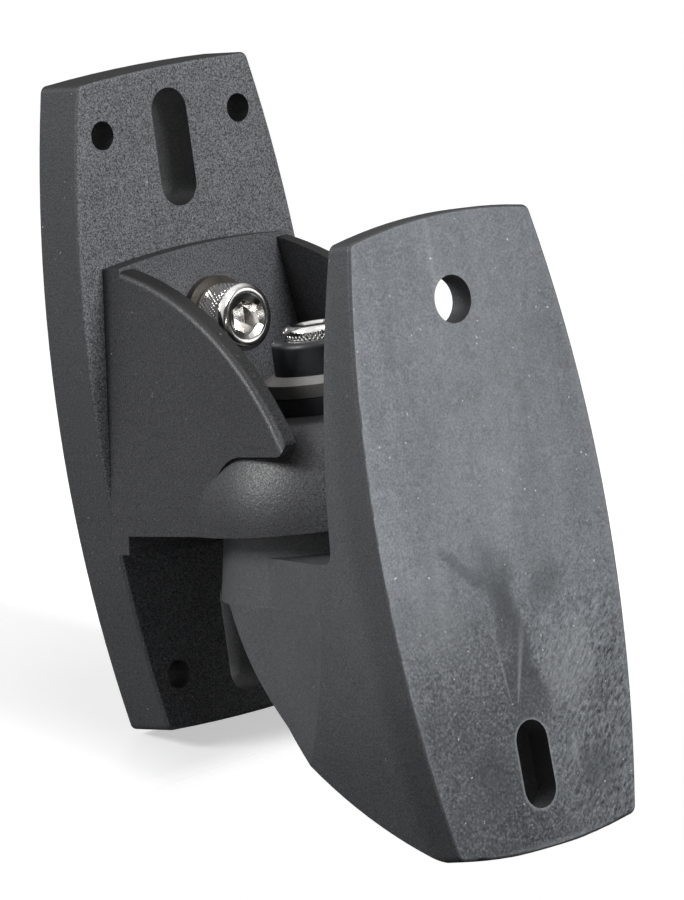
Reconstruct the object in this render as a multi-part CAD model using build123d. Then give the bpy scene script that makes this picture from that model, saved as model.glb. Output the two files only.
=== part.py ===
from build123d import *
import os
from math import cos, radians, sin, sqrt, tan

os.makedirs("parts", exist_ok=True)

# Speaker wall bracket, millimetres.
# The origin is the centre of the wall plate's back. X points right, Y into the wall and Z up.
# The wall plate and the swivel housing are fixed. A ball insert inside the round nose of the housing
# tilts about X, and the arm with its speaker plate turns under it about the pivot screw.

# Wall plate
wall_half_mid = 28.5
wall_half_corner = 21.2
wall_corner_z = 61.8
wall_mid_z = 62.5
wall_depth = 11.0
wall_web = 4.0
wall_rim = 4.0
wall_corner_round = 1.6
wall_edge_round = 0.8
wall_hole_x = 17.1
wall_hole_z = 51.6
wall_hole_dia = 5.5
wall_slot_width = 8.7
wall_slot_travel = 13.9
wall_slot_z = 46.8
wall_slot_wall = 2.6
wall_boss_wall = 2.6
wall_rib = 2.4

# Swivel housing
house_flare = 0.1356
house_top_corner_z = 26.9
house_top_mid_z = 28.2
house_bottom_z = -22.9
house_foot_corner_z = -26.4
house_foot_mid_z = -28.2
house_back = 4.75
house_cheek = 3.6
house_edge_round = 1.4
house_floor_z = -3.7
house_floor = 5.1
tip_z = -8.2
tip_round = 1.6
tip_sweep = 7.7
tip_sweep_back = 3.9
rim_radius = 72.3
rim_back = 45.9
rim_centre_z = -43.9
peg_radius = 4.0
peg_length = 3.0
peg_z = -14.0

# Ball joint
ball_z = -24.0
dome_radius = 29.7
dome_wall = 4.2
dome_stand = 4.0
dome_bulge = 1.1
dome_top_round = 4.5
tilt_limit = 8.0

# Running and fitting clearances
ball_gap = 0.3
seat_gap = 0.3
turn_gap = 0.1
bore_gap = 0.08
slot_gap = 0.3
fit_gap = 0.1
screw_gap = 0.3

# M8 socket head screws and nuts
shank_dia = 7.9
head_dia = 13.0
head_height = 8.0
head_chamfer = 0.7
key_width = 6.0
key_depth = 4.5
nut_width = 13.0
nut_height = 6.5
housing_screw_z = 13.9
housing_screw_length = 16.0
washer_dia = 16.0
washer_thick = 1.6
pivot_screw_length = 40.0

# Washers and cup on the pivot screw, radii and heights above the ball's centre
seat_base_radius = 9.6
seat_top_radius = 10.7
seat_top_height = 23.5
seat_recess = 0.4
bevel_tip_radius = 11.8
bevel_tip_height = 26.4
bevel_top_radius = 9.65
bevel_top_height = 27.7
cup_radius = 9.0
cup_height = 6.3
cup_floor = 0.9
cup_round = 1.2

# Ball insert, heights above the ball's centre
insert_top_height = 11.5
insert_key_half_x = 6.3
insert_key_half_y = 5.0
insert_key_height = 18.6
insert_key_round = 2.0

# Speaker plate. Depths run from its front face towards the wall, heights from its centre.
plate_half_mid = 29.0
plate_half_corner = 22.5
plate_corner_z = 57.45
plate_mid_z = 59.65
plate_drop = 2.95
plate_lean = 3.5
plate_skin = 5.2
plate_swing_gap = 6.55
plate_wall = 4.0
plate_top_thick = 5.3
plate_notch_thick = 13.4
plate_corner_round = 1.8
plate_edge_round = 0.7
recess_top_z = 50.0
speaker_hole_dia = 9.0
speaker_hole_z = 43.5
speaker_slot_width = 7.8
speaker_slot_travel = 8.8
speaker_slot_z = -43.7

# Arm, heights above the ball's centre
notch_height = -3.85
notch_round = 2.4
arm_floor = 4.0
arm_side_half = 24.8
arm_side_reach = 4.8
arm_top_half = 22.9
arm_top_reach = 3.4
arm_side_height = -13.0
drum_top_height = 2.0
drum_top_radius = 22.3
drum_inset = 0.75
drum_foot_height = -12.7
under_radius = 87.7
arm_foot_rise = 0.1
arm_tail = 12.6
arm_lap = 5.0
nut_boss_radius = 10.5
nut_seat_height = -3.5
web_thick = 3.4
web_foot_x = 9.5
web_head_x = 16.0

big = 200.0
ball_y = -(wall_depth + dome_stand + dome_radius)
rim_centre_y = ball_y + rim_back
house_ball_half = dome_radius - dome_bulge
socket_radius = dome_radius - dome_wall
drum_radius = socket_radius - drum_inset
plate_reach = dome_radius + plate_swing_gap + plate_skin
ball = Vector(0, ball_y, ball_z)
shank = shank_dia / 2


def barrel(half_mid, half_corner, corner_z, mid_z):
    # Outline of both plates: four arcs, widest at the middle
    right = ThreePointArc((half_corner, -corner_z), (half_mid, 0), (half_corner, corner_z))
    top = ThreePointArc((half_corner, corner_z), (0, mid_z), (-half_corner, corner_z))
    left = ThreePointArc((-half_corner, corner_z), (-half_mid, 0), (-half_corner, -corner_z))
    foot = ThreePointArc((-half_corner, -corner_z), (0, -mid_z), (half_corner, -corner_z))
    return make_face([right, top, left, foot])


def upright_slot(centre_z, travel, width):
    # Slot with round ends in the face of a plate
    return Pos(0, centre_z) * (Rot(0, 0, 90) * SlotCenterToCenter(travel, width))


def from_wall(face, depth, start=0.0):
    # Prism of a front view, from the depth start out of the wall
    return extrude(Plane.XZ.offset(start) * face, depth)


def side_view(face):
    # Prism of a side view, through everything
    return extrude(Plane.YZ * face, big / 2, both=True)


def turned(points):
    # Body of revolution about the vertical, from radius and height pairs
    face = make_face(Polyline(*points, close=True))
    return revolve(Plane.XZ * face, Axis.Z)


def hexagon(width):
    return RegularPolygon(width / 2, 6, major_radius=False)


def house_half(z):
    # Half width of the housing's outside at a height, a little less than the nose's at the ball
    return house_ball_half + house_flare * (ball_z - z)


def house_front(inset, foot_z, rise=0.0):
    # Front view of the housing above foot_z: flaring sides under an arched top
    top_z = house_top_corner_z + rise
    top_half = house_half(top_z) - inset
    foot_half = house_half(foot_z) - inset
    top = ThreePointArc((top_half, top_z), (0, house_top_mid_z + rise), (-top_half, top_z))
    sides = Polyline((-top_half, top_z), (-foot_half, foot_z), (foot_half, foot_z), (top_half, top_z))
    return make_face([top, *sides.edges()])


def rim_y(z):
    # Where the cheeks' curved rim is at a height
    return rim_centre_y - sqrt(rim_radius**2 - (z - rim_centre_z) ** 2)


def make_wall_plate():
    outline = barrel(wall_half_mid, wall_half_corner, wall_corner_z, wall_mid_z)
    outline = fillet(outline.vertices(), wall_corner_round)
    plate = from_wall(outline, wall_depth)
    plate = fillet(plate.faces().sort_by(Axis.Y)[0].edges(), wall_edge_round)
    # The back is hollow, with walls round the slots, bosses round the holes and ribs between them
    hollow = barrel(
        wall_half_mid - wall_rim, wall_half_corner - wall_rim, wall_corner_z - wall_rim, wall_mid_z - wall_rim
    )
    hollow = fillet(hollow.vertices(), wall_corner_round)
    slot_wall = wall_slot_width + 2 * wall_slot_wall
    hollow -= Rectangle(wall_rib, 2 * (wall_slot_z - wall_slot_travel / 2))
    for side in (-1, 1):
        hollow -= upright_slot(side * wall_slot_z, wall_slot_travel, slot_wall)
        rib_z = side * (wall_slot_z - wall_slot_travel / 2 - slot_wall / 2)
        hollow -= Pos(0, rib_z) * Rectangle(3 * wall_half_mid, wall_rib)
        for across in (-1, 1):
            hollow -= Pos(across * wall_hole_x, side * wall_hole_z) * Circle(wall_hole_dia / 2 + wall_boss_wall)
    hollow -= Pos(0, housing_screw_z) * Circle(nut_width / 2 + 2 * wall_boss_wall)
    hollow -= Pos(0, peg_z) * Circle(peg_radius + wall_boss_wall)
    for cell in hollow.faces():
        plate -= from_wall(cell, wall_depth - wall_web)
    for side in (-1, 1):
        plate -= from_wall(upright_slot(side * wall_slot_z, wall_slot_travel, wall_slot_width), wall_depth)
        for across in (-1, 1):
            hole = Pos(across * wall_hole_x, side * wall_hole_z) * Circle(wall_hole_dia / 2)
            plate -= from_wall(hole, wall_depth)
    plate -= from_wall(Pos(0, housing_screw_z) * Circle(shank + screw_gap), wall_depth)
    plate -= from_wall(Pos(0, housing_screw_z) * hexagon(nut_width + 2 * fit_gap), nut_height + screw_gap)
    peg_hole = Pos(0, peg_z) * Circle(peg_radius + fit_gap)
    plate -= from_wall(peg_hole, peg_length + fit_gap, wall_depth - peg_length - fit_gap)
    return plate


def make_swivel_housing():
    # Flaring block under a curved rim, the rim's outer edges rounded
    front_y = -wall_depth
    crown_z = rim_centre_z + sqrt(rim_radius**2 - (front_y - rim_centre_y) ** 2)
    foot_y = rim_y(house_bottom_z)
    middle_z = (crown_z + house_bottom_z) / 2
    rim = ThreePointArc((front_y, crown_z), (rim_y(middle_z), middle_z), (foot_y, house_bottom_z))
    rest = Polyline((foot_y, house_bottom_z), (front_y, house_bottom_z), (front_y, crown_z))
    curved = side_view(make_face([rim, *rest.edges()]))
    block = from_wall(house_front(0, house_bottom_z, big / 8), big, wall_depth) & curved
    block = fillet([e for e in block.edges() if is_rim_edge(e)], house_edge_round)
    block &= from_wall(house_front(0, house_bottom_z), big, wall_depth)
    # In front of the ball the cheeks end above the nose, their tips rounded
    round_z = tip_z + tip_round
    round_y = rim_centre_y - sqrt((rim_radius - tip_round) ** 2 - (round_z - rim_centre_z) ** 2)
    share = tip_round / (rim_radius - tip_round)
    end_y = round_y + share * (round_y - rim_centre_y)
    end_z = round_z + share * (round_z - rim_centre_z)
    bend_y = round_y - tip_round * cos(radians(45))
    bend_z = round_z - tip_round * sin(radians(45))
    nose = ThreePointArc((round_y, tip_z), (bend_y, bend_z), (end_y, end_z))
    back_y = ball_y + tip_sweep_back
    sweep_y = back_y - tip_sweep
    sweep_bend = tip_sweep * sin(radians(45))
    sweep = ThreePointArc(
        (back_y, tip_z - tip_sweep),
        (sweep_y + sweep_bend, tip_z - tip_sweep + sweep_bend),
        (sweep_y, tip_z),
    )
    around = Polyline((end_y, end_z), (-big, end_z), (-big, -big), (back_y, -big), (back_y, tip_z - tip_sweep))
    under = Line((sweep_y, tip_z), (round_y, tip_z))
    block -= side_view(make_face([nose, *around.edges(), sweep, under]))
    # Back plate with an arched top and foot, a little lower than the cheeks
    foot_half = house_half(house_foot_corner_z)
    top_half = house_half(house_top_corner_z)
    back = make_face(
        [
            ThreePointArc((top_half, house_top_corner_z), (0, house_top_mid_z), (-top_half, house_top_corner_z)),
            Line((-top_half, house_top_corner_z), (-foot_half, house_foot_corner_z)),
            ThreePointArc((-foot_half, house_foot_corner_z), (0, house_foot_mid_z), (foot_half, house_foot_corner_z)),
            Line((foot_half, house_foot_corner_z), (top_half, house_top_corner_z)),
        ]
    )
    house = block + from_wall(back, house_back, wall_depth)
    # Pocket between the cheeks, open in front, with its floor at the top of the nose
    inside = wall_depth + house_back
    house -= from_wall(house_front(house_cheek, house_floor_z, big / 8), big, inside)
    before = Pos(0, ball_y - big / 2, 0) * Box(big, big, big)
    house -= from_wall(house_front(house_cheek, house_bottom_z, big / 8), big, inside) & before
    # Round nose over the ball joint
    band = house_floor_z - house_bottom_z
    dome = Sphere(dome_radius) & (Pos(0, 0, house_bottom_z + band / 2 - ball_z) * Box(big, big, band))
    dome = fillet(dome.faces().sort_by(Axis.Z)[-1].edges(), dome_top_round)
    house += Pos(*ball) * dome
    # Spherical socket under the floor, and a core pocket in each rear corner
    under_floor = house_floor_z - house_floor
    below = Pos(0, ball_y, under_floor - big / 2) * Box(big, big, big)
    house -= (Pos(*ball) * Sphere(socket_radius)) & below
    core = from_wall(house_front(house_cheek, house_bottom_z), big, inside + house_cheek)
    behind = Pos(0, ball_y + big / 2, under_floor - big / 2) * Box(big, big, big)
    house -= (core & behind) - (Pos(*ball) * Sphere(dome_radius))
    # Opening in the floor for the insert's key, recess for the seat ring, screw hole and peg
    opening = Rectangle(2 * (insert_key_half_x + slot_gap), 2 * key_reach())
    opening = fillet(opening.vertices(), insert_key_round)
    house -= Pos(0, ball_y, under_floor - 1) * extrude(opening, big / 4)
    flare = (seat_top_radius - seat_base_radius) / (seat_top_height - (house_floor_z - seat_recess - ball_z))
    recess = Circle(seat_base_radius + flare * seat_recess + fit_gap)
    house -= Pos(0, ball_y, house_floor_z - seat_recess) * extrude(recess, big / 4)
    house -= from_wall(Pos(0, housing_screw_z) * Circle(shank + screw_gap), big / 10, wall_depth - 1)
    house += from_wall(Pos(0, peg_z) * Circle(peg_radius), peg_length + 1, wall_depth - peg_length)
    return house


def is_rim_edge(edge):
    # Outer edges of the housing block's curved rim
    mid = edge @ 0.5
    on_side = abs(abs(mid.X) - house_half(mid.Z)) < 0.01
    on_rim = abs(mid.Y - rim_y(mid.Z)) < 0.01
    return on_side and on_rim


def key_reach():
    # How far the key's top corner goes from the middle at the tilt limit
    angle = radians(tilt_limit)
    return insert_key_height * sin(angle) + insert_key_half_y * cos(angle) + slot_gap


def make_seat_ring():
    # Its top is a zone of a ball about the joint's centre, its slot lets the pivot screw tilt
    base = house_floor_z - seat_recess - ball_z
    crown = sqrt(seat_top_radius**2 + seat_top_height**2)
    cone = turned([(0, base), (seat_base_radius, base), (seat_top_radius, seat_top_height), (0, seat_top_height)])
    top = Pos(0, 0, seat_top_height) * extrude(Circle(seat_top_radius), crown)
    ring = cone + (top & Sphere(crown))
    angle = radians(tilt_limit)
    half = crown * tan(angle) + shank / cos(angle) + slot_gap
    slot = Rot(0, 0, 90) * SlotOverall(2 * half, 2 * (shank + slot_gap))
    return Pos(*ball) * (ring - extrude(slot, big / 4))


def make_ball_insert():
    foot = drum_top_height + turn_gap
    height = insert_top_height - foot
    insert = Sphere(socket_radius - ball_gap) & (Pos(0, 0, foot + height / 2) * Box(big, big, height))
    key = RectangleRounded(2 * insert_key_half_x, 2 * insert_key_half_y, insert_key_round)
    insert += Pos(0, 0, foot) * extrude(key, insert_key_height - foot)
    insert -= Cylinder(shank + bore_gap, big)
    return Pos(*ball) * insert


def make_screw(length):
    # Socket head cap screw, head up, with the underside of its head at the origin
    head = Pos(0, 0, head_height / 2) * Cylinder(head_dia / 2, head_height)
    head = chamfer(head.faces().sort_by(Axis.Z)[-1].edges(), head_chamfer)
    head -= Pos(0, 0, head_height - key_depth) * extrude(hexagon(key_width), key_depth)
    body = Pos(0, 0, -length / 2) * Cylinder(shank, length)
    body = chamfer(body.faces().sort_by(Axis.Z)[0].edges(), head_chamfer)
    return head + body


def make_nut():
    # Hexagon nut standing on the origin, its corners chamfered
    nut = extrude(hexagon(nut_width), nut_height) - Cylinder(shank + bore_gap, big)
    corner = nut_width / 2 / cos(radians(30))
    fall = (corner - nut_width / 2) * tan(radians(30))
    barrel_shape = turned(
        [
            (0, 0),
            (nut_width / 2, 0),
            (corner, fall),
            (corner, nut_height - fall),
            (nut_width / 2, nut_height),
            (0, nut_height),
        ]
    )
    return nut & barrel_shape


def make_washer():
    return extrude(Circle(washer_dia / 2) - Circle(shank + screw_gap), washer_thick)


def make_bevel_washer():
    crown = sqrt(seat_top_radius**2 + seat_top_height**2)
    washer = turned(
        [
            (0, seat_top_height - 1),
            (seat_top_radius, seat_top_height + seat_gap),
            (bevel_tip_radius, bevel_tip_height),
            (bevel_top_radius, bevel_top_height),
            (0, bevel_top_height),
        ]
    )
    return washer - Sphere(crown + seat_gap) - Cylinder(shank + bore_gap, big)


def make_screw_cup():
    cup = extrude(Circle(cup_radius), cup_height)
    cup = fillet(cup.faces().sort_by(Axis.Z)[-1].edges(), cup_round)
    cup -= Pos(0, 0, cup_floor) * extrude(Circle(head_dia / 2 + fit_gap), cup_height)
    return cup - Cylinder(shank + bore_gap, big)


def leaned(shape):
    # Puts a shape drawn from the centre of the plate's face into the arm's frame, centred on the ball
    return Pos(0, -plate_reach, -plate_drop) * Rot(-plate_lean, 0, 0) * shape


def make_speaker_arm():
    outline = barrel(plate_half_mid, plate_half_corner, plate_corner_z, plate_mid_z)
    outline = fillet(outline.vertices(), plate_corner_round)
    prism = Pos(0, big, 0) * from_wall(outline, big)
    prism = fillet(prism.faces().sort_by(Axis.Y)[0].edges(), plate_edge_round)
    inside = barrel(
        plate_half_mid - plate_wall,
        plate_half_corner - plate_wall,
        plate_corner_z - plate_wall,
        plate_mid_z - plate_wall,
    )
    inner = Pos(0, big, 0) * from_wall(fillet(inside.vertices(), plate_corner_round), big)
    # Plate, thinner towards its top, and the arm under it, rounded off below
    notch_z = notch_height + plate_drop
    slope = (plate_notch_thick - plate_top_thick) / (plate_mid_z - notch_z)
    plate_side = Polyline(
        (0, notch_z - 2),
        (0, plate_mid_z),
        (plate_top_thick, plate_mid_z),
        (plate_notch_thick + 2 * slope, notch_z - 2),
        close=True,
    )
    plate = leaned(prism & side_view(make_face(plate_side)))
    arm = leaned(prism & side_view(arm_side())) & make_arm_sides()
    above = Pos(0, 0, notch_height + big / 2) * Box(big, big, big)
    arm -= above
    body = plate + arm
    corner = [e for e in body.edges().filter_by(Axis.X) if abs(e.center().Z - notch_height) < 0.01]
    body = fillet([e for e in corner if e.center().Y > -plate_reach + plate_skin], notch_round)
    drum = turned(
        [
            (0, drum_foot_height),
            (drum_radius, drum_foot_height),
            (drum_top_radius, drum_top_height),
            (0, drum_top_height),
        ]
    )
    body += drum
    # Hollow below, with a boss for the nut and two webs that run down beside the slot
    under = notch_height - arm_floor
    room = (Pos(0, 0, -big + under) * extrude(arm_plan(plate_wall), big)) & leaned(
        Pos(0, plate_skin + big / 2, 0) * Box(big, big, big)
    )
    room = room & (leaned(inner) + Pos(0, 0, -big / 2) * extrude(Circle(drum_radius - plate_wall), big))
    room -= leaned(make_webs())
    room -= Pos(0, 0, drum_foot_height) * extrude(Circle(nut_boss_radius), big)
    body -= room
    # Shallow recess in the back of the plate above the arm
    depth = plate_notch_thick
    recess = Pos(0, plate_skin + depth / 2, recess_top_z / 2) * Box(big, depth, recess_top_z + big / 4)
    body -= (leaned(inner & recess) & above) - Cylinder(drum_radius, big)
    # Hole and slot for the speaker's screws, bore and pocket for the pivot screw and its nut
    hole = Pos(0, speaker_hole_z) * Circle(speaker_hole_dia / 2)
    slot = upright_slot(speaker_slot_z, speaker_slot_travel, speaker_slot_width)
    body -= leaned(Pos(0, big / 8, 0) * from_wall(hole + slot, big / 4))
    body -= Cylinder(shank + bore_gap, big)
    pocket_height = nut_seat_height - drum_foot_height
    body -= Pos(0, 0, drum_foot_height) * extrude(hexagon(nut_width + 2 * fit_gap), pocket_height)
    return Pos(*ball) * body


def arm_side():
    # Side view of the arm below the notch, its underside one arc from the plate's foot to behind the pivot
    foot_z = arm_foot_rise - plate_mid_z
    high = notch_height + plate_drop + arm_lap
    rear = plate_reach + arm_tail
    arc = RadiusArc((rear, high), (0, foot_z), under_radius)
    rest = Polyline((rear, high), (0, high), (0, foot_z))
    return make_face([arc, *rest.edges()])


def make_arm_sides():
    # The arm's sides lean out from the notch down to arm_side_height and are upright below it. Round the
    # drum's foot the arm is as wide as the drum.
    top = arm_outline(arm_top_half, arm_top_reach)
    side = arm_outline(arm_side_half, arm_side_reach)
    leaning = loft([Pos(0, 0, arm_side_height) * side, Pos(0, 0, notch_height) * top], ruled=True)
    upright = Pos(0, 0, arm_side_height - big) * extrude(side, big)
    return leaning + upright + Pos(0, 0, drum_foot_height - big) * extrude(Circle(drum_radius), big)


def arm_outline(side_half, side_reach):
    # The arm from above: its sides draw in from the plate's width to the drum
    half = plate_half_mid + 1
    front = -plate_reach - 5
    notch = -plate_reach + plate_notch_thick
    return make_face(
        Polyline(
            (-half, front),
            (half, front),
            (half, notch),
            (side_half, -side_reach),
            (side_half, 0),
            (-side_half, 0),
            (-side_half, -side_reach),
            (-half, notch),
            close=True,
        )
    )


def arm_plan(inset):
    # The arm from above: its sides draw in from the plate's width to the drum
    half = plate_half_mid + 1 - inset
    side_half = arm_side_half - inset
    front = -plate_reach - 5
    notch = -plate_reach + plate_notch_thick
    plan = make_face(
        Polyline(
            (-half, front),
            (half, front),
            (half, notch),
            (side_half, -arm_side_reach),
            (side_half, 0),
            (-side_half, 0),
            (-side_half, -arm_side_reach),
            (-half, notch),
            close=True,
        )
    )
    return plan + Circle(drum_radius - inset)


def make_webs():
    webs = []
    lean = (web_head_x - web_foot_x) / plate_mid_z
    for side in (-1, 1):
        inside = web_foot_x - web_thick / 2
        web = Polyline(
            (side * inside, -plate_mid_z),
            (side * (inside + web_thick), -plate_mid_z),
            (side * (inside + web_thick + lean * plate_mid_z), 0),
            (side * (inside + lean * plate_mid_z), 0),
            close=True,
        )
        webs.append(Pos(0, big, 0) * from_wall(make_face(web), big))
    return webs[0] + webs[1]


def along_wall(shape, depth, height):
    # Turns a shape drawn upright so that its top points out of the wall
    return Pos(0, -depth, height) * Rot(90, 0, 0) * shape


def at_pivot(shape, height=0.0):
    return Pos(0, ball_y, ball_z + height) * shape


pieces = {
    "wall_plate": make_wall_plate(),
    "swivel_housing": make_swivel_housing(),
    "housing_screw": along_wall(
        make_screw(housing_screw_length), wall_depth + house_back + washer_thick, housing_screw_z
    ),
    "housing_washer": along_wall(make_washer(), wall_depth + house_back, housing_screw_z),
    "housing_nut": along_wall(make_nut(), screw_gap, housing_screw_z),
    "seat_ring": make_seat_ring(),
    "ball_insert": make_ball_insert(),
    "speaker_arm": make_speaker_arm(),
    "bevel_washer": at_pivot(make_bevel_washer()),
    "screw_cup": at_pivot(make_screw_cup(), bevel_top_height),
    "pivot_screw": at_pivot(make_screw(pivot_screw_length), bevel_top_height + cup_floor),
    "pivot_nut": at_pivot(make_nut(), nut_seat_height - nut_height),
}

for name, piece in pieces.items():
    export_step(piece, f"parts/{name}.step")
    print(name, round(piece.volume), len(piece.solids()))
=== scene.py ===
import math

import bpy
import numpy as np
from mathutils import Euler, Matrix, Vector


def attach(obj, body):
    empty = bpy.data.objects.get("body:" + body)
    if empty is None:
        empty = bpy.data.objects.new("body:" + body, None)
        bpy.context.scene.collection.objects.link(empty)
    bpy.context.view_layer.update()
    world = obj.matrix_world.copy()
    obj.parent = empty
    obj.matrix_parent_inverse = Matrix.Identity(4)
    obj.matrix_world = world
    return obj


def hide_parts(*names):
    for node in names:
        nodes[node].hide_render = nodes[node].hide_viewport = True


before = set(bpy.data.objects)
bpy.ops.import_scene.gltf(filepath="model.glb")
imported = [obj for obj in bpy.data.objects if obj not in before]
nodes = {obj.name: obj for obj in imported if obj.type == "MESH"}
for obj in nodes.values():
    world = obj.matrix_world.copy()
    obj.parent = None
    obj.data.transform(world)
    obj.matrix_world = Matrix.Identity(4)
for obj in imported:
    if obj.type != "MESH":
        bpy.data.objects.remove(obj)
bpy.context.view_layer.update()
print("frame loaded:", len(nodes), "CAD nodes")


# ---------------------------------------------------------------- node helpers
def startMaterial(name, metallic=0.0):
    # An empty node tree with a Principled shader on its output
    mat = bpy.data.materials.new(name)
    mat.use_nodes = True
    tree = mat.node_tree
    tree.nodes.clear()
    out = tree.nodes.new("ShaderNodeOutputMaterial")
    shader = tree.nodes.new("ShaderNodeBsdfPrincipled")
    shader.inputs["Metallic"].default_value = metallic
    tree.links.new(shader.outputs[0], out.inputs["Surface"])
    coords = tree.nodes.new("ShaderNodeTexCoord")
    return mat, tree, shader, coords


def feed(tree, socket, value):
    # Links a socket or sets a plain value
    if isinstance(value, bpy.types.NodeSocket):
        tree.links.new(value, socket)
    else:
        socket.default_value = value


def calc(tree, operation, first, second=0.5, third=None):
    n = tree.nodes.new("ShaderNodeMath")
    n.operation = operation
    feed(tree, n.inputs[0], first)
    feed(tree, n.inputs[1], second)
    if third is not None:
        feed(tree, n.inputs[2], third)
    return n.outputs[0]


def plus(tree, first, second):
    return calc(tree, "ADD", first, second)


def minus(tree, first, second):
    return calc(tree, "SUBTRACT", first, second)


def times(tree, first, second):
    return calc(tree, "MULTIPLY", first, second)


def absolute(tree, value):
    return calc(tree, "ABSOLUTE", value)


def between(tree, share, first, second):
    # From the first value to the second by a share
    return calc(tree, "MULTIPLY_ADD", minus(tree, second, first), share, first)


def squaresOf(tree, first, second, firstHalf=1.0, secondHalf=1.0):
    # The sum of two squares, which is 1 on an oval of these half widths
    first = calc(tree, "DIVIDE", first, firstHalf)
    second = calc(tree, "DIVIDE", second, secondHalf)
    return calc(tree, "MULTIPLY_ADD", first, first, times(tree, second, second))


def noise(tree, vector, scale, detail=2.0, rough=0.5, distortion=0.0):
    n = tree.nodes.new("ShaderNodeTexNoise")
    feed(tree, n.inputs["Vector"], vector)
    n.inputs["Scale"].default_value = scale
    n.inputs["Detail"].default_value = detail
    n.inputs["Roughness"].default_value = rough
    n.inputs["Distortion"].default_value = distortion
    return n.outputs["Fac"]


def stretch(tree, value, low, high, toLow=0.0, toHigh=1.0, smooth=False):
    # Carries the range from low to high over to the range from toLow to toHigh, and clamps it there
    n = tree.nodes.new("ShaderNodeMapRange")
    n.interpolation_type = "SMOOTHSTEP" if smooth else "LINEAR"
    feed(tree, n.inputs["Value"], value)
    n.inputs["From Min"].default_value = low
    n.inputs["From Max"].default_value = high
    feed(tree, n.inputs["To Min"], toLow)
    feed(tree, n.inputs["To Max"], toHigh)
    return n.outputs["Result"]


def scaled(tree, vector, factors=(1.0, 1.0, 1.0), offset=(0.0, 0.0, 0.0), turn=None):
    n = tree.nodes.new("ShaderNodeMapping")
    feed(tree, n.inputs["Vector"], vector)
    n.inputs["Scale"].default_value = factors
    n.inputs["Location"].default_value = offset
    if turn is not None:
        # Turned first and stretched after, so that the pattern runs askew
        first = tree.nodes.new("ShaderNodeMapping")
        feed(tree, first.inputs["Vector"], vector)
        first.inputs["Rotation"].default_value = turn
        tree.links.new(first.outputs["Vector"], n.inputs["Vector"])
    return n.outputs["Vector"]


def along(tree, vector, way):
    # How far a vector goes along a way
    n = tree.nodes.new("ShaderNodeVectorMath")
    n.operation = "DOT_PRODUCT"
    feed(tree, n.inputs[0], vector)
    n.inputs[1].default_value = way
    return n.outputs["Value"]


def axes(tree, vector):
    n = tree.nodes.new("ShaderNodeSeparateXYZ")
    feed(tree, n.inputs[0], vector)
    return n.outputs[0], n.outputs[1], n.outputs[2]


def blendColour(tree, share, first, second):
    n = tree.nodes.new("ShaderNodeMix")
    n.data_type = "RGBA"
    feed(tree, n.inputs["Factor"], share)
    feed(tree, n.inputs["A"], first)
    feed(tree, n.inputs["B"], second)
    return n.outputs["Result"]


def tint(tree, colour, factor):
    # A colour times a grey factor
    n = tree.nodes.new("ShaderNodeVectorMath")
    n.operation = "SCALE"
    feed(tree, n.inputs[0], colour if isinstance(colour, bpy.types.NodeSocket) else colour[:3])
    feed(tree, n.inputs["Scale"], factor)
    return n.outputs["Vector"]


def relief(tree, height, distance, strength):
    n = tree.nodes.new("ShaderNodeBump")
    n.inputs["Strength"].default_value = strength
    n.inputs["Distance"].default_value = distance
    feed(tree, n.inputs["Height"], height)
    return n.outputs["Normal"]


# ---------------------------------------------------------------- powder coat on the castings
# Each coat's side tone, top tone and lift are painted shade and painted light, set by which way a face looks
coatLooks = {
    "wallPlateCoat": {
        "colour": (0.138, 0.142, 0.151, 1), "sideShadeTone": 0.34, "topShadeTone": 0.20, "paintedLift": 0.0,
        "sideGrain": 0.55, "frontGrain": 1.0, "cloud": 0.08, "specks": 0.75,
        "roughness": 0.52, "bump": 0.000070, "seed": 0.0,
    },
    "housingCoat": {
        "colour": (0.108, 0.110, 0.118, 1), "sideShadeTone": 0.36, "topShadeTone": 0.14, "paintedLift": 0.45,
        "sideGrain": 0.90, "frontGrain": 0.95, "cloud": 0.10, "specks": 0.45,
        "roughness": 0.41, "bump": 0.000045, "seed": 3.1,
    },
    # The arm takes its roughness and bump from faceLook
    "speakerArmCoat": {
        "colour": (0.100, 0.103, 0.110, 1), "sideShadeTone": 0.84, "topShadeTone": 0.45, "paintedLift": 0.0,
        "sideGrain": 0.42, "frontGrain": 0.3, "cloud": 0.08, "specks": 0.35, "seed": 7.7,
    },
}
# What the coats share. Sizes are noise scales, and jointZ is a height in metres.
coatGrain = {
    "size": 3300, "pebbleSize": 1815, "pebbleHeight": 1.4, "cloudSize": 55,
    "speckSize": 1150, "speckRange": (0.775, 0.80), "speckColour": (0.45, 0.46, 0.47, 1),
    # The facing and height ranges also set where the painted shade and painted light of the coats fall
    "toFront": (0.45, 0.95), "toTop": (0.50, 0.88), "paintedLiftRange": (0.05, 0.45), "jointZ": (-0.004, 0.002),
    "specular": 0.42, "bumpStrength": 0.9,
}


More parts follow.
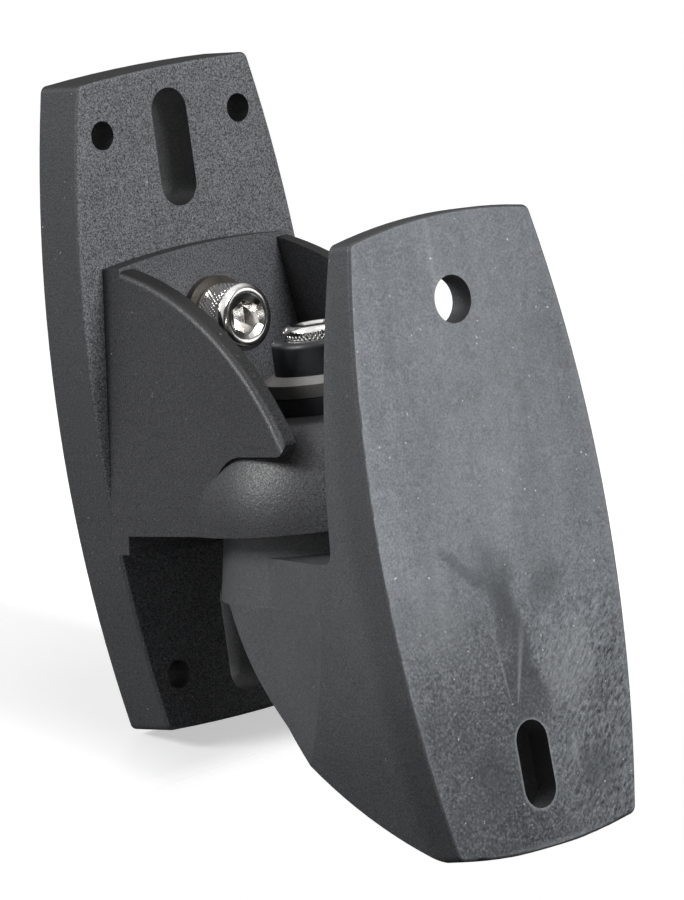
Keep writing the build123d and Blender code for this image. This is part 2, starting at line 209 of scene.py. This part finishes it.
def coatLayers(tree, coords, look):
    # Colour, height and tone of a textured powder coat: fine grain, with a strength of its own on the
    # faces that look to the front, a few pale specks and faint clouds. The tone is painted shade on faces
    # that look to the side or up, and painted light on faces that look up below the ball joint
    common = coatGrain
    position = coords.outputs["Object"]
    _, lookY, lookZ = axes(tree, coords.outputs["Normal"])
    toFront = stretch(tree, times(tree, lookY, -1.0), *common["toFront"], smooth=True)
    # Painted shade makes faces that look up darker above the ball joint, and painted light makes them
    # lighter below it
    aboveJoint = stretch(tree, axes(tree, position)[2], *common["jointZ"])
    darker = stretch(tree, lookZ, *common["toTop"], 0.0, 1 - look["topShadeTone"], smooth=True)
    paintedLift = stretch(tree, lookZ, *common["paintedLiftRange"], 0.0, look["paintedLift"], smooth=True)
    loss = times(tree, plus(tree, darker, paintedLift), aboveJoint)
    paintedUpTone = minus(tree, plus(tree, 1.0, paintedLift), loss)
    # Painted shade: faces that look to the side are darker than those that look to the front
    paintedTone = times(tree, stretch(tree, toFront, 0.0, 1.0, look["sideShadeTone"], 1.0), paintedUpTone)

    place = scaled(tree, position, offset=(look["seed"], look["seed"] * 0.37, 0))
    grain = noise(tree, place, common["size"], 2.0, 0.6)
    pebble = noise(tree, place, common["pebbleSize"], 2.0, 0.55)
    cloud = noise(tree, place, common["cloudSize"], 3.0, 0.55)
    power = stretch(tree, toFront, 0.0, 1.0, look["sideGrain"], look["frontGrain"])
    value = calc(tree, "MULTIPLY_ADD", stretch(tree, grain, 0.30, 0.72, -1.0, 1.0), power, 1.0)
    value = times(tree, value, stretch(tree, pebble, 0.3, 0.7, 0.88, 1.12))
    value = times(tree, value, stretch(tree, cloud, 0.3, 0.7, 1 - look["cloud"], 1 + look["cloud"]))
    colour = tint(tree, look["colour"], times(tree, value, paintedTone))
    speck = noise(tree, place, common["speckSize"], 1.0, 0.5)
    speck = stretch(tree, speck, *common["speckRange"], 0.0, look["specks"], smooth=True)
    colour = blendColour(tree, speck, colour, common["speckColour"])
    height = plus(tree, grain, times(tree, pebble, common["pebbleHeight"]))
    return colour, height, value


def makeCoat(name):
    look = coatLooks[name]
    mat, tree, shader, coords = startMaterial(name)
    colour, height, value = coatLayers(tree, coords, look)
    feed(tree, shader.inputs["Base Color"], colour)
    rough = stretch(tree, value, 0.6, 1.5, look["roughness"] + 0.06, look["roughness"] - 0.08)
    feed(tree, shader.inputs["Roughness"], rough)
    shader.inputs["Specular IOR Level"].default_value = coatGrain["specular"]
    feed(tree, shader.inputs["Normal"], relief(tree, height, look["bump"], coatGrain["bumpStrength"]))
    return mat


# The speaker plate's face: the coat rubbed pale and blotchy, with dark smears over the slot. Places on it
# are given across and up, each from -1 to 1, and slotZ, slotStraight and slotRadius in metres.
faceLook = {
    "colour": (0.198, 0.213, 0.231, 1), "smear": (0.048, 0.053, 0.059, 1),
    "pale": (0.36, 0.38, 0.395, 1), "dust": (0.75, 0.77, 0.78, 1),
    "out": (0.0, -0.998135, 0.061049), "centreZ": -0.02695, "halfWidth": 0.029, "halfHeight": 0.0597,
    # Near the plate, within coatDepth, the coat gets painted shade on the plate's sides
    "faceDepth": (-0.0840, -0.0835), "coatDepth": (-0.0800, -0.0740), "plateSideShade": 0.72,
    "grainSize": 2300, "fleckSize": 1750, "scuffSize": 2000, "mottleSize": 420, "streakSize": 260,
    "cloudSize": 62, "wanderSize": 70, "wander": 0.5, "dustSize": 1150,
    "driftSizes": (150, 120), "driftAcross": 0.42, "driftUp": 0.16,
    "fallLeft": 0.43, "fallRight": 0.80, "footTone": 0.86, "leftTone": 1.14, "rightTone": 0.84,
    "wiped": 0.14, "wipedCentre": (0.12, 0.36), "wipedHalf": (1 / 1.35, 1 / 1.5),
    "fanX": -0.10, "fanFoot": -0.60, "topLine": 0.30, "topLineX": -0.12, "topLineWidth": 0.035,
    "rim": 0.22, "rimCurve": 0.205, "foot": 0.30,
    "slotZ": -0.07065, "slotStraight": 0.0044, "slotRadius": 0.0039, "slotEdge": 0.40,
    "roughness": 0.47, "specular": 0.45, "bump": 0.000055, "bumpStrength": 0.8, "mottleHeight": 2.2,
}
# Marks on it: centre across and up, lean, half width, half height and strength, less than 0 for pale
faceMarks = (
    (-0.07, -0.13, 0.45, 0.20, 0.17, 0.46),
    (0.02, -0.33, 0.40, 0.17, 0.26, 0.66),
    (0.03, -0.52, 0.10, 0.20, 0.18, 0.50),
    (-0.32, -0.08, 2.0, 0.13, 0.09, 0.45),
    (0.36, -0.18, -1.0, 0.20, 0.09, 0.42),
    (-0.36, -0.74, 0.0, 0.26, 0.13, 0.50),
    (0.52, -0.78, -0.5, 0.24, 0.10, 0.50),
    (-0.62, -0.21, 0.0, 0.30, 0.20, -0.16),
    (0.42, -0.46, -0.8, 0.26, 0.17, -0.24),
    (0.34, -0.72, 0.3, 0.05, 0.08, -0.30),
)
# Scratches that fan out over the slot: lean, width and strength
scratches = ((0.62, 0.16, 0.40), (-0.22, 0.10, 0.34), (-0.60, 0.06, 0.16))


def faceGround(tree, position, across, up):
    # Colour, grain and mottle of the rubbed face, before its marks
    look = faceLook
    # Broad clouds, drawn out along the plate as if wiped
    wipedWay = scaled(tree, position, (1.0, 1.0, 0.42), (0.013, 0, 0.02))
    cloud = noise(tree, wipedWay, look["cloudSize"], 4.0, 0.62, 0.6)
    streakWay = scaled(tree, position, (1.0, 1.0, 0.12), (0.4, 0, 0))
    streak = noise(tree, streakWay, look["streakSize"], 3.0, 0.6, 0.2)
    mottle = noise(tree, position, look["mottleSize"], 4.0, 0.68)
    grain = noise(tree, position, look["grainSize"], 2.0, 0.62)
    flecks = noise(tree, scaled(tree, position, turn=(0, 0.7, 0)), look["fleckSize"], 3.0, 0.66)
    scuffWay = scaled(tree, position, (1, 1, 0.35), turn=(0, -0.75, 0))
    scuffs = noise(tree, scuffWay, look["scuffSize"], 2.0, 0.6)
    # The lower half is coarser, most of all on the right, and its grain stands out with pale flecks
    lower = stretch(tree, up, 0.12, -0.45, smooth=True)
    coarse = times(tree, lower, stretch(tree, across, -0.5, 0.6, 0.45, 1.0))
    askew = times(tree, coarse, stretch(tree, across, 0.0, 0.35, 0.0, 0.75, smooth=True))
    mixed = between(tree, lower, grain, between(tree, askew, flecks, scuffs))
    grainLow = minus(tree, 0.70, times(tree, coarse, 0.56))
    grainHigh = plus(tree, 1.32, times(tree, coarse, 0.72))
    shade = stretch(tree, mixed, 0.33, 0.70, grainLow, grainHigh)
    shade = times(tree, shade, stretch(tree, cloud, 0.30, 0.72, 0.84, 1.16))
    blotch = minus(tree, 0.11, times(tree, coarse, 0.04))
    blotch = calc(tree, "MULTIPLY_ADD", stretch(tree, mottle, 0.32, 0.70, -1.0, 1.0), blotch, 1.0)
    shade = times(tree, shade, blotch)
    shade = times(tree, shade, stretch(tree, streak, 0.30, 0.70, 0.95, 1.05))
    # Darker towards the foot, more on the left than on the right
    wander = minus(tree, noise(tree, position, look["wanderSize"], 3.0, 0.6), 0.5)
    wandering = calc(tree, "MULTIPLY_ADD", wander, look["wander"], up)
    fallLeft = stretch(tree, wandering, 0.02, -0.62, 1.0, look["fallLeft"], smooth=True)
    fallRight = stretch(tree, wandering, 0.05, -0.62, 1.0, look["fallRight"], smooth=True)
    rightShare = stretch(tree, across, -0.35, 0.55, smooth=True)
    shade = times(tree, shade, between(tree, rightShare, fallLeft, fallRight))
    shade = times(tree, shade, stretch(tree, up, -0.78, -0.96, 1.0, look["footTone"], smooth=True))
    shade = times(tree, shade, stretch(tree, across, -0.7, 0.8, look["leftTone"], look["rightTone"]))
    face = tint(tree, look["colour"], shade)
    bright = stretch(tree, flecks, 0.55, 0.66, 0.0, 0.40, smooth=True)
    face = blendColour(tree, times(tree, bright, coarse), face, look["pale"])
    # A paler wiped patch below and beside the round hole
    centreX, centreZ = look["wipedCentre"]
    away = squaresOf(tree, minus(tree, across, centreX), minus(tree, up, centreZ), *look["wipedHalf"])
    wiped = stretch(tree, away, 1.0, 0.05, 0.0, look["wiped"], smooth=True)
    wiped = times(tree, wiped, stretch(tree, cloud, 0.35, 0.65, 0.45, 1.0))
    return blendColour(tree, wiped, face, look["pale"]), mixed, mottle


def addSmears(tree, position, across, up, face):
    # Dark smears over and beside the slot, and patches rubbed pale
    sizeX, sizeZ = faceLook["driftSizes"]
    driftX = minus(tree, noise(tree, scaled(tree, position, (1, 1, 0.5)), sizeX, 3.0, 0.55), 0.5)
    driftZ = minus(tree, noise(tree, position, sizeZ, 2.0, 0.5), 0.5)
    markX = calc(tree, "MULTIPLY_ADD", driftX, faceLook["driftAcross"], across)
    markZ = calc(tree, "MULTIPLY_ADD", driftZ, faceLook["driftUp"], up)
    for centreX, centreZ, lean, halfX, halfZ, power in faceMarks:
        offZ = minus(tree, markZ, centreZ)
        offX = calc(tree, "MULTIPLY_ADD", offZ, lean, minus(tree, markX, centreX))
        away = squaresOf(tree, offX, offZ, halfX, halfZ)
        mark = stretch(tree, away, 1.0, 0.0, 0.0, abs(power), smooth=True)
        face = blendColour(tree, mark, face, faceLook["pale"] if power < 0 else faceLook["smear"])
    return face


def addLines(tree, across, up, face):
    # Thin pale scratches that fan out over the slot, and one faint upright line at the top
    look = faceLook
    fromSlot = minus(tree, up, look["fanFoot"])
    fan = calc(tree, "DIVIDE", minus(tree, across, look["fanX"]), calc(tree, "MAXIMUM", fromSlot, 0.02))
    for lean, width, power in scratches:
        line = stretch(tree, absolute(tree, minus(tree, fan, lean)), width, 0.0, 0.0, power, smooth=True)
        line = times(tree, line, stretch(tree, fromSlot, 0.04, 0.09))
        line = times(tree, line, stretch(tree, fromSlot, 0.36, 0.18))
        face = blendColour(tree, line, face, look["pale"])
    topLine = absolute(tree, minus(tree, across, look["topLineX"]))
    topLine = stretch(tree, topLine, look["topLineWidth"], 0.0, 0.0, look["topLine"], smooth=True)
    topLine = times(tree, topLine, stretch(tree, up, 0.70, 0.86))
    return blendColour(tree, topLine, face, look["pale"])


def addEdges(tree, x, z, across, up, face):
    # The rim of the plate, its foot and the edge of the slot are rubbed pale
    look = faceLook
    rim = plus(tree, absolute(tree, across), times(tree, times(tree, up, up), look["rimCurve"]))
    rim = stretch(tree, rim, 0.90, 1.0, 0.0, look["rim"], smooth=True)
    foot = stretch(tree, up, -0.965, -0.99, 0.0, look["foot"], smooth=True)
    face = blendColour(tree, calc(tree, "MAXIMUM", rim, foot), face, look["pale"])
    slotZ = minus(tree, absolute(tree, minus(tree, z, look["slotZ"])), look["slotStraight"])
    fromSlot = calc(tree, "SQRT", squaresOf(tree, x, calc(tree, "MAXIMUM", slotZ, 0.0)))
    fromSlot = minus(tree, fromSlot, look["slotRadius"])
    edge = stretch(tree, fromSlot, 0.0007, 0.0001, 0.0, look["slotEdge"], smooth=True)
    return blendColour(tree, edge, face, look["pale"])


def makeArmCoat():
    look = faceLook
    mat, tree, shader, coords = startMaterial("speakerArmCoat")
    position = coords.outputs["Object"]
    x, y, z = axes(tree, position)
    across = times(tree, x, 1 / look["halfWidth"])
    up = times(tree, minus(tree, z, look["centreZ"]), 1 / look["halfHeight"])
    face, mixed, mottle = faceGround(tree, position, across, up)
    face = addSmears(tree, position, across, up, face)
    face = addLines(tree, across, up, face)
    face = addEdges(tree, x, z, across, up, face)
    dust = noise(tree, position, look["dustSize"], 1.0, 0.5)
    face = blendColour(tree, stretch(tree, dust, 0.77, 0.795, 0.0, 0.85, smooth=True), face, look["dust"])
    # The coat itself on all other faces, with painted shade that makes it darker near the plate
    colour, height, _ = coatLayers(tree, coords, coatLooks["speakerArmCoat"])
    depth = plus(tree, y, times(tree, z, -look["out"][2]))
    colour = tint(tree, colour, stretch(tree, depth, *look["coatDepth"], look["plateSideShade"], 1.0, smooth=True))
    inFront = stretch(tree, along(tree, coords.outputs["Normal"], look["out"]), 0.93, 0.985, smooth=True)
    onFace = times(tree, inFront, stretch(tree, depth, *look["faceDepth"], 1.0, 0.0))
    feed(tree, shader.inputs["Base Color"], blendColour(tree, onFace, colour, face))
    faceHeight = plus(tree, mixed, times(tree, mottle, look["mottleHeight"]))
    height = between(tree, onFace, height, faceHeight)
    feed(tree, shader.inputs["Normal"], relief(tree, height, look["bump"], look["bumpStrength"]))
    rough = stretch(tree, mottle, 0.3, 0.7, look["roughness"] - 0.07, look["roughness"] + 0.09)
    feed(tree, shader.inputs["Roughness"], rough)
    shader.inputs["Specular IOR Level"].default_value = look["specular"]
    return mat


# ---------------------------------------------------------------- metal and plastic of the small pieces
smallLooks = {
    "plating": {
        "colour": (0.90, 0.885, 0.86, 1), "metallic": 1.0, "roughness": 0.13, "bump": 0.000012, "size": 900,
    },
    "zinc": {
        "colour": (0.20, 0.195, 0.185, 1), "metallic": 1.0, "roughness": 0.40, "bump": 0.000012, "size": 1400,
    },
    "dullZinc": {
        "colour": (0.085, 0.078, 0.07, 1), "metallic": 0.8, "roughness": 0.48, "bump": 0.000012, "size": 1400,
    },
    "greyWasher": {
        "colour": (0.33, 0.32, 0.305, 1), "metallic": 0.0, "roughness": 0.46, "bump": 0.00003, "size": 1800,
    },
    "blackPlastic": {
        "colour": (0.012, 0.013, 0.015, 1), "metallic": 0.0, "roughness": 0.40, "bump": 0.00002, "size": 1500,
    },
    "ringPlastic": {
        "colour": (0.060, 0.062, 0.070, 1), "metallic": 0.0, "roughness": 0.40, "bump": 0.00002, "size": 1500,
    },
    "insertPlastic": {
        "colour": (0.035, 0.036, 0.038, 1), "metallic": 0.0, "roughness": 0.5, "bump": 0.00002, "size": 1500,
    },
}


def makeSmall(name):
    # Plain finish with fine handling marks: colour and gloss vary a little, and so does the surface
    look = smallLooks[name]
    mat, tree, shader, coords = startMaterial(name, look["metallic"])
    position = coords.outputs["Object"]
    marks = noise(tree, position, look["size"], 3.0, 0.6)
    patches = noise(tree, position, look["size"] * 0.15, 3.0, 0.6)
    value = stretch(tree, marks, 0.3, 0.7, 0.88, 1.10)
    value = times(tree, value, stretch(tree, patches, 0.3, 0.7, 0.9, 1.08))
    feed(tree, shader.inputs["Base Color"], tint(tree, look["colour"], value))
    rough = stretch(tree, patches, 0.3, 0.7, look["roughness"] * 0.75, look["roughness"] * 1.35)
    feed(tree, shader.inputs["Roughness"], rough)
    feed(tree, shader.inputs["Normal"], relief(tree, marks, look["bump"], 0.6))
    return mat


finishes = {name: makeSmall(name) for name in smallLooks}
for name in ("wallPlateCoat", "housingCoat"):
    finishes[name] = makeCoat(name)
finishes["speakerArmCoat"] = makeArmCoat()

nodeFinish = {
    "wall_plate": "wallPlateCoat",
    "swivel_housing": "housingCoat",
    "speaker_arm": "speakerArmCoat",
    "housing_screw": "plating",
    "pivot_screw": "plating",
    "housing_washer": "dullZinc",
    "housing_nut": "zinc",
    "pivot_nut": "zinc",
    "bevel_washer": "greyWasher",
    "seat_ring": "ringPlastic",
    "screw_cup": "blackPlastic",
    "ball_insert": "insertPlastic",
}
for name, finish in nodeFinish.items():
    nodes[name].data.materials.clear()
    nodes[name].data.materials.append(finishes[finish])
print("finishes made:", len(finishes))

# ---------------------------------------------------------------- socket head screws
# In metres. The seat, under the head, is at height 0.
screwLook = {
    "headRadius": 0.0065, "headHeight": 0.0080, "headRound": 0.0013, "edgeStep": 0.0003,
    "teeth": 48, "toothDepth": 0.00020, "toothRise": 0.0011, "toothRows": 30, "toothFoot": 0.0009,
    "bevel": 0.0006, "bevelStep": 0.00015, "socketWidth": 0.0060, "socketDepth": 0.0045,
    "socketCone": 0.0012, "lipDepth": 0.0005, "lipDrop": 0.00012, "lipInner": 0.0006, "lipOuter": 0.0008,
    "shankRadius": 0.00395, "fillet": 0.0003, "filletDrop": 0.0004, "pitch": 0.00125, "pitchRows": 8,
    "threadDepth": 0.00055, "threadGap": 0.0002, "plainTip": 0.0009, "tipShoulder": 0.0005,
    "tipHeight": 0.0004, "tipFlat": 0.0010, "tipMiddle": 0.0004, "steps": 288,
}
# Each screw: its length, where its thread begins, the middle of its seat and whether its head looks out
# of the wall or up
screws = {
    "housingSocketScrew": {
        "length": 0.016, "threadFrom": 0.004, "seat": (0.0, -0.01735, 0.0139), "outOfWall": True,
    },
    "pivotSocketScrew": {
        "length": 0.040, "threadFrom": 0.022, "seat": (0.0, -0.0447, 0.0046), "outOfWall": False,
    },
}


def surfaceOfTurning(rows, wave, steps):
    # Rows of (radius, height) carried round the Z axis. wave(radius, height, angle) gives each vertex its
    # own radius, and a fan closes each end on the axis.
    angle = np.linspace(0, 2 * np.pi, steps, endpoint=False)
    heights = np.array([row[1] for row in rows])
    radius = wave(np.array([row[0] for row in rows])[:, None], heights[:, None], angle[None, :])
    x, y = radius * np.cos(angle), radius * np.sin(angle)
    z = np.repeat(heights[:, None], steps, axis=1)
    grid = np.stack([x, y, z], axis=-1).reshape(-1, 3)
    points = np.vstack([grid, [[0, 0, heights[0]], [0, 0, heights[-1]]]])
    count = len(rows)
    i, j = np.meshgrid(np.arange(count - 1), np.arange(steps), indexing="ij")
    nextJ = (j + 1) % steps
    quads = [i * steps + j, i * steps + nextJ, (i + 1) * steps + nextJ, (i + 1) * steps + j]
    ring = np.arange(steps)
    after = (ring + 1) % steps
    last = (count - 1) * steps
    topFan = np.stack([np.full(steps, count * steps), after, ring], axis=-1)
    lowFan = np.stack([np.full(steps, count * steps + 1), last + ring, last + after], axis=-1)
    return points, np.stack(quads, axis=-1).reshape(-1, 4), np.vstack([topFan, lowFan])


def meshFrom(name, points, quads, triangles, material):
    mesh = bpy.data.meshes.new(name)
    faces = quads.tolist() + triangles.tolist()
    mesh.from_pydata(points.tolist(), [], faces)
    mesh.polygons.foreach_set("use_smooth", np.ones(len(faces), bool))
    mesh.set_sharp_from_angle(angle=math.radians(32))
    mesh.materials.append(material)
    mesh.update()
    obj = bpy.data.objects.new(name, mesh)
    bpy.context.scene.collection.objects.link(obj)
    return obj


def makeScrew(name):
    # A socket head cap screw as one surface: out of the socket, over the rounded rim, down the knurled
    # head and along the shank. The socket's rows take the radius of a hexagon, the head's rows a
    # diamond knurl and the thread's rows a helical ridge.
    look, screw = screwLook, screws[name]
    length, threadFrom = screw["length"], screw["threadFrom"]
    head, top, rim, shank = look["headRadius"], look["headHeight"], look["headRound"], look["shankRadius"]
    flat = head - rim
    floorZ = top - look["socketDepth"]
    wallHeight = look["socketDepth"] - look["lipDepth"]
    inner = look["socketWidth"] / 2
    corner = inner / math.cos(math.pi / 6)
    rows = [(corner * s, floorZ - look["socketCone"] * (1 - s), "socket") for s in (0.04, 0.35, 0.7, 1.0)]
    rows += [(corner, floorZ + s * wallHeight, "socket") for s in (0.02, 0.5, 1.0)]
    rows += [(corner + look["lipInner"], top - look["lipDrop"], "plain")]
    rows += [(corner + look["lipOuter"], top, "plain")]
    rows += [(flat - look["edgeStep"], top, "plain"), (flat, top, "plain")]
    for a in np.radians([20, 40, 60, 80]):
        rows.append((flat + rim * math.sin(a), top - rim + rim * math.cos(a), "plain"))
    knurlZ = np.linspace(top - rim - look["edgeStep"], look["toothFoot"], look["toothRows"])
    rows += [(head, z, "knurl") for z in knurlZ]
    rows += [(head - look["bevelStep"], look["bevel"], "plain"), (head - look["bevel"], 0.0, "plain")]
    rows += [(shank + look["fillet"], 0.0, "plain"), (shank, -look["filletDrop"], "plain")]
    rows += [(shank, -threadFrom, "plain")]
    threadStart, threadStop = -threadFrom - look["threadGap"], -length + look["plainTip"]
    threadZ = np.arange(threadStart, threadStop, -look["pitch"] / look["pitchRows"])
    rows += [(shank, z, "thread") for z in threadZ]
    rows += [(shank - look["tipShoulder"], -length + look["tipHeight"], "plain")]
    rows += [(shank - look["tipFlat"], -length, "plain"), (look["tipMiddle"], -length, "plain")]
    kinds = np.array([row[2] for row in rows])[:, None]

    def wave(radius, height, angle):
        sixth = (angle + math.pi / 6) % (math.pi / 3) - math.pi / 6
        hexagon = (radius / corner) * inner / np.cos(sixth)
        turns = angle * look["teeth"] / (2 * math.pi)
        rise = height / look["toothRise"]
        left = np.abs(((turns + rise) % 1) - 0.5) * 2
        right = np.abs(((turns - rise) % 1) - 0.5) * 2
        knurl = radius - look["toothDepth"] * np.clip(1.25 * np.maximum(left, right) - 0.25, 0, 1)
        ridge = np.abs(((angle / (2 * math.pi) + height / look["pitch"]) % 1) - 0.5) * 2
        thread = radius - look["threadDepth"] * np.clip(1.2 * ridge - 0.1, 0, 1)
        shapes = {"socket": hexagon, "knurl": knurl, "thread": thread}
        return np.select([kinds == kind for kind in shapes], list(shapes.values()), radius)

    points, quads, triangles = surfaceOfTurning([row[:2] for row in rows], wave, look["steps"])
    if screw["outOfWall"]:
        x, y, z = points.T
        points = np.stack([x, -z, y], axis=-1)
    return meshFrom(name, points + np.array(screw["seat"]), quads, triangles, finishes["plating"])


housingScrew = makeScrew("housingSocketScrew")
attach(housingScrew, "wall_unit")
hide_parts("housing_screw")
pivotScrew = makeScrew("pivotSocketScrew")
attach(pivotScrew, "speaker_unit")
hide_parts("pivot_screw")
print("screws made")

# ---------------------------------------------------------------- floor, world, lamps and camera
# backLight is the floor's colour to all but the camera, and the open places are in metres
floorLook = {
    "colour": (0.84, 0.84, 0.84, 1), "backLight": (0.30, 0.30, 0.30, 1), "roughness": 0.20,
    "ownLight": 0.52, "lightFrom": 0.25, "lightTo": 1.1, "half": 2.5, "drop": 0.0003,
    "openY": -0.068, "openHalfX": 0.090, "openHalfY": 0.042, "openFade": 1.28,
}


def lowest(name, slope):
    # The lowest point of a piece, measured square to a plane of this slope
    co = np.zeros(len(nodes[name].data.vertices) * 3, np.float32)
    nodes[name].data.vertices.foreach_get("co", co)
    co = co.reshape(-1, 3)
    return (co[:, 2] * math.cos(slope) - co[:, 1] * math.sin(slope)).min()


def floorPlane():
    # The bracket leans on the foot of both plates: the slope and level at which one plane touches both
    low, high = 0.0, math.radians(40)
    for _ in range(40):
        mid = (low + high) / 2
        if lowest("speaker_arm", mid) < lowest("wall_plate", mid):
            low = mid
        else:
            high = mid
    return mid, lowest("wall_plate", mid)


def makeFloor():
    look = floorLook
    slope, level = floorPlane()
    print("floor slope", round(math.degrees(slope), 2))
    sideways = Vector((look["half"], 0, 0))
    back = Vector((0, math.cos(slope), math.sin(slope))) * look["half"]
    centre = Vector((0, -math.sin(slope), math.cos(slope))) * (level - look["drop"])
    corners = [centre + sideways * a + back * b for a, b in ((-1, -1), (1, -1), (1, 1), (-1, 1))]
    mesh = bpy.data.meshes.new("studioFloor")
    mesh.from_pydata([tuple(c) for c in corners], [], [(0, 1, 2, 3)])
    mat, tree, shader, coords = startMaterial("studioFloor")
    shader.inputs["Roughness"].default_value = look["roughness"]
    # Paler to the camera than to the light that it throws back on the bracket
    seen = tree.nodes.new("ShaderNodeLightPath").outputs["Is Camera Ray"]
    feed(tree, shader.inputs["Base Color"], blendColour(tree, seen, look["backLight"], look["colour"]))
    # Its own light makes it white to the camera, wholly so away from the bracket
    position = coords.outputs["Object"]
    far = tree.nodes.new("ShaderNodeVectorMath")
    far.operation = "LENGTH"
    tree.links.new(position, far.inputs[0])
    ownLight = stretch(
        tree, far.outputs["Value"], look["lightFrom"], look["lightTo"], look["ownLight"], 1.0, smooth=True)
    shader.inputs["Emission Color"].default_value = (1, 1, 1, 1)
    feed(tree, shader.inputs["Emission Strength"], times(tree, seen, ownLight))
    # Open under the arm, whose foot dips below the floor when it tilts or turns
    x, y, _ = axes(tree, position)
    away = squaresOf(tree, x, minus(tree, y, look["openY"]), look["openHalfX"], look["openHalfY"])
    solid = stretch(tree, calc(tree, "SQRT", away), 1.0, look["openFade"], smooth=True)
    feed(tree, shader.inputs["Alpha"], solid)
    mesh.materials.append(mat)
    floor = bpy.data.objects.new("studioFloor", mesh)
    bpy.context.scene.collection.objects.link(floor)


# Strength of the white surroundings to the camera, to matt surfaces and to mirroring ones, which see
# them dim below and bright overhead
worldLook = {
    "seen": 1.0, "lit": 0.08, "mirroredLow": 0.05, "mirroredHigh": 0.95, "brightWay": (-0.30, -0.10, 0.95),
}


def makeWorld():
    look = worldLook
    world = bpy.data.worlds.new("studio")
    bpy.context.scene.world = world
    world.use_nodes = True
    sky = world.node_tree
    background = sky.nodes["Background"]
    background.inputs["Color"].default_value = (1, 1, 1, 1)
    path = sky.nodes.new("ShaderNodeLightPath")
    way = sky.nodes.new("ShaderNodeTexCoord").outputs["Generated"]
    overhead = along(sky, way, look["brightWay"])
    mirrored = stretch(sky, overhead, 0.0, 0.8, look["mirroredLow"], look["mirroredHigh"], smooth=True)
    mirrored = times(sky, path.outputs["Is Glossy Ray"], mirrored)
    lit = times(sky, path.outputs["Is Diffuse Ray"], look["lit"])
    seen = times(sky, path.outputs["Is Camera Ray"], look["seen"])
    strength = calc(sky, "MAXIMUM", seen, calc(sky, "MAXIMUM", mirrored, lit))
    feed(sky, background.inputs["Strength"], strength)


# Each lamp: the way it lies from the object, its distance, width and power
lamps = {
    "keyLamp": {"way": (0.16, -0.86, 0.46), "distance": 1.1, "width": 0.36, "power": 9.2},
    "leftLamp": {"way": (-0.74, 0.24, 0.54), "distance": 1.0, "width": 0.36, "power": 6.6},
    "rightLamp": {"way": (0.66, -0.72, 0.12), "distance": 1.0, "width": 0.30, "power": 0.4},
    "overLamp": {"way": (-0.05, -0.30, 0.90), "distance": 1.0, "width": 0.30, "power": 1.5},
}
lampAim = (0.0, -0.045, -0.01)


def makeLamp(name):
    look = lamps[name]
    data = bpy.data.lights.new(name, "AREA")
    data.shape = "SQUARE"
    data.size = look["width"]
    data.energy = look["power"]
    lamp = bpy.data.objects.new(name, data)
    way = Vector(look["way"]).normalized()
    lamp.location = Vector(lampAim) + way * look["distance"]
    lamp.rotation_euler = (-way).to_track_quat("-Z", "Y").to_euler()
    bpy.context.scene.collection.objects.link(lamp)


# Fitted to the corners of both plates in the photograph
cameraLook = {
    "place": (-1.0863045, -1.2963833, 0.1864391), "turn": (1.45055917, 0.13747846, -0.73221799),
    "lens": 356.5234, "sensor": 36.0, "clipStart": 0.05, "clipEnd": 20.0,
}


def makeCamera():
    look = cameraLook
    data = bpy.data.cameras.new("photoCamera")
    data.lens = look["lens"]
    data.sensor_width = look["sensor"]
    data.clip_start = look["clipStart"]
    data.clip_end = look["clipEnd"]
    camera = bpy.data.objects.new("photoCamera", data)
    camera.location = look["place"]
    camera.rotation_euler = Euler(look["turn"], "XYZ")
    bpy.context.scene.collection.objects.link(camera)
    bpy.context.scene.camera = camera
    bpy.context.scene.view_settings.view_transform = "Standard"


makeFloor()
makeWorld()
for name in lamps:
    makeLamp(name)
makeCamera()
print("stage ready")
